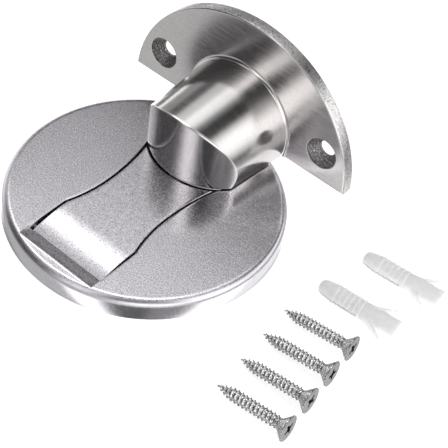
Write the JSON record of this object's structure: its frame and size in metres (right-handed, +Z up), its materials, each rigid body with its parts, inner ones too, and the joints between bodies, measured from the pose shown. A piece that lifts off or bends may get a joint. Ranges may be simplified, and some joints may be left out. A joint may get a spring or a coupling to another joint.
{
  "type": "magnetic floor door holder",
  "caption": "Low round floor disc with a flush hinged flap that a magnet boss on a half-round door plate lifts and holds, with its loose fixing screws and wall anchors.",
  "frame": {"origin": "centre of the floor pad's underside, on the floor", "axes": "+Z up, +Y from the flap's hinge towards the door plate, +X to the side where the loose fixings lie"},
  "size_m": [0.0901, 0.0622, 0.0329],
  "materials": {
    "satin_nickel": "satin nickel",
    "bare_steel": "plain steel",
    "zinc_plate": "bright zinc plate",
    "magnet_nickel": "bright nickel plate",
    "pad_foam": "matt foam",
    "spacer_plastic": "matt",
    "anchor_nylon": "milky natural nylon"
  },
  "bodies": {
    "floor_base": {"floor_disc": "satin_nickel", "floor_pad": "pad_foam", "hinge_pin": "bare_steel"},
    "flap": {"flap": "satin_nickel", "flap_armature": "bare_steel", "armature_rivet_1": "bare_steel", "armature_rivet_2": "bare_steel"},
    "door_bracket": {"door_plate": "satin_nickel", "magnet_boss": "satin_nickel", "magnet": "magnet_nickel", "magnet_yoke": "bare_steel", "magnet_spacer": "spacer_plastic", "boss_screw_1": "zinc_plate", "boss_screw_2": "zinc_plate"},
    "wood_screw_1": {"wood_screw_1": "zinc_plate"},
    "wood_screw_2": {"wood_screw_2": "zinc_plate"},
    "wood_screw_3": {"wood_screw_3": "zinc_plate"},
    "wood_screw_4": {"wood_screw_4": "zinc_plate"},
    "wall_anchor_1": {"wall_anchor_1": "anchor_nylon"},
    "wall_anchor_2": {"wall_anchor_2": "anchor_nylon"}
  },
  "joints": [
    {"name": "flap_hinge", "type": "hinge", "parent": "floor_base", "child": "flap", "pos_m": [0, -0.022, 0.0026], "axis": [1, 0, 0], "range_deg": [0, 90]},
    {"name": "door_travel", "type": "slide", "parent": "floor_base", "child": "door_bracket", "axis": [0, -1, 0], "range_m": [-0.06, 0.029]},
    {"name": "wood_screw_1_lift", "type": "slide", "parent": "floor_base", "child": "wood_screw_1", "axis": [0, 0, 1], "range_m": [0, 0.04]},
    {"name": "wood_screw_2_lift", "type": "slide", "parent": "floor_base", "child": "wood_screw_2", "axis": [0, 0, 1], "range_m": [0, 0.04]},
    {"name": "wood_screw_3_lift", "type": "slide", "parent": "floor_base", "child": "wood_screw_3", "axis": [0, 0, 1], "range_m": [0, 0.04]},
    {"name": "wood_screw_4_lift", "type": "slide", "parent": "floor_base", "child": "wood_screw_4", "axis": [0, 0, 1], "range_m": [0, 0.04]},
    {"name": "wall_anchor_1_lift", "type": "slide", "parent": "floor_base", "child": "wall_anchor_1", "axis": [0, 0, 1], "range_m": [0, 0.04]},
    {"name": "wall_anchor_2_lift", "type": "slide", "parent": "floor_base", "child": "wall_anchor_2", "axis": [0, 0, 1], "range_m": [0, 0.04]}
  ]
}
